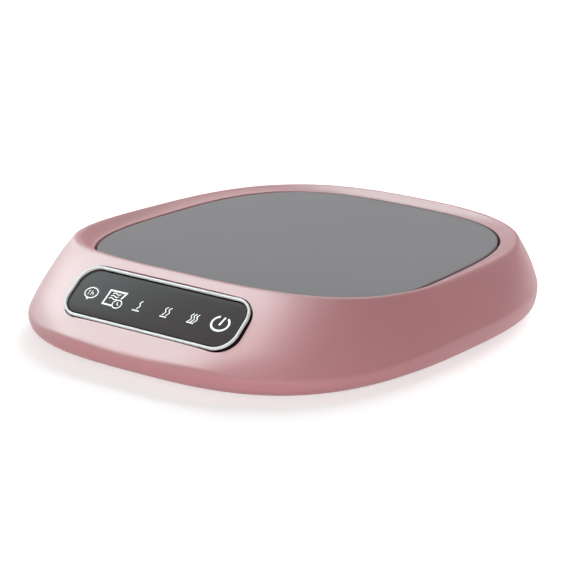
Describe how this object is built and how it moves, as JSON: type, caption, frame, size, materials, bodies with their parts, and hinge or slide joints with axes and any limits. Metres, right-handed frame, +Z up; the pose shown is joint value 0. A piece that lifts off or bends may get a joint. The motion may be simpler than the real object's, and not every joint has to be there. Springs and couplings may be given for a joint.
{
  "type": "electric mug warmer",
  "caption": "Low electric mug warmer: a rounded-square moulded shell with a recessed glass heating plate on springs and a sloping touch panel in a bright bezel.",
  "frame": {"origin": "middle of the footprint, on the surface the feet stand on", "axes": "+Z up, the touch panel faces -Y, +X to the right when facing the panel"},
  "size_m": [0.1264, 0.14, 0.0244],
  "materials": {
    "shell_plastic": "satin moulded plastic, dusty pink",
    "foot_rubber": "soft black rubber",
    "screw_steel": "zinc-plated steel",
    "spring_steel": "bright spring wire",
    "plate_glass": "opaque grey glass with a satin top",
    "adhesive_film": "pale heat-conducting film",
    "spreader_aluminium": "milled aluminium",
    "heater_mica": "mica sheet with etched foil",
    "insulation_felt": "white needled glass felt",
    "carrier_plastic": "black heat-resistant plastic",
    "strap_steel": "pressed spring steel",
    "chrome_trim": "polished chrome plate",
    "lens_black": "smoked acrylic with white symbols",
    "nylon_white": "white moulded nylon",
    "led_resin": "cast resin",
    "copper_spring": "plated spring wire",
    "board_green": "green lacquered glass-fibre board",
    "chip_black": "black moulded resin",
    "capacitor_can": "drawn aluminium can",
    "ribbon_film": "white flat cable",
    "heater_wire": "red silicone-covered wire",
    "sensor_wire": "blue covered wire",
    "black_wire": "black covered wire",
    "switch_plastic": "black moulded nylon",
    "plunger_red": "red acetal",
    "contact_metal": "nickel-plated brass"
  },
  "bodies": {
    "body": {"upper_housing": "shell_plastic", "base_cover": "shell_plastic", "foot_front_left": "foot_rubber", "foot_front_right": "foot_rubber", "foot_rear_left": "foot_rubber", "foot_rear_right": "foot_rubber", "base_screws": "screw_steel", "return_spring_front_left": "spring_steel", "return_spring_front_right": "spring_steel", "return_spring_rear_left": "spring_steel", "return_spring_rear_right": "spring_steel", "panel_bezel": "chrome_trim", "panel_lens": "lens_black", "light_guide": "nylon_white", "indicator_leds": "led_resin", "touch_spring_mode": "copper_spring", "touch_spring_power": "copper_spring", "panel_board": "board_green", "touch_chip": "chip_black", "panel_board_screws": "screw_steel", "panel_socket": "nylon_white", "panel_ribbon": "ribbon_film", "ribbon_socket": "nylon_white", "main_board": "board_green", "control_chip": "chip_black", "heater_mosfet": "chip_black", "inductor": "chip_black", "capacitor": "capacitor_can", "buzzer": "chip_black", "board_screws": "screw_steel", "heater_socket": "nylon_white", "heater_leads": "heater_wire", "sensor_socket": "nylon_white", "sensor_leads": "sensor_wire", "switch_body": "switch_plastic", "inlet_body": "switch_plastic", "inlet_pin": "contact_metal", "inlet_terminals": "contact_metal", "inlet_socket": "nylon_white", "lead_positive": "heater_wire", "lead_negative": "black_wire"},
    "plate": {"glass_plate": "plate_glass", "plate_adhesive": "adhesive_film", "heat_spreader": "spreader_aluminium", "heating_element": "heater_mica", "insulation_pad": "insulation_felt", "plate_carrier": "carrier_plastic", "carrier_screws": "screw_steel", "thermistor": "chip_black", "thermal_cutout": "nylon_white", "sensor_strap": "strap_steel", "strap_screws": "screw_steel"},
    "plunger": {"switch_plunger": "plunger_red"}
  },
  "joints": [
    {"name": "plate_press", "type": "slide", "parent": "body", "child": "plate", "axis": [0, 0, 1], "range_m": [-0.001, 0], "stiffness_N_per_m": 1500, "springref_m": 0.0019, "deforming": ["return_spring_front_left", "return_spring_front_right", "return_spring_rear_left", "return_spring_rear_right", "heater_leads", "sensor_leads"]},
    {"name": "switch_press", "type": "slide", "parent": "body", "child": "plunger", "axis": [0, 0, 1], "range_m": [-0.001, 0]}
  ],
  "couplings": [
    {"joint": "switch_press", "follows": "plate_press", "ratio": 1}
  ]
}
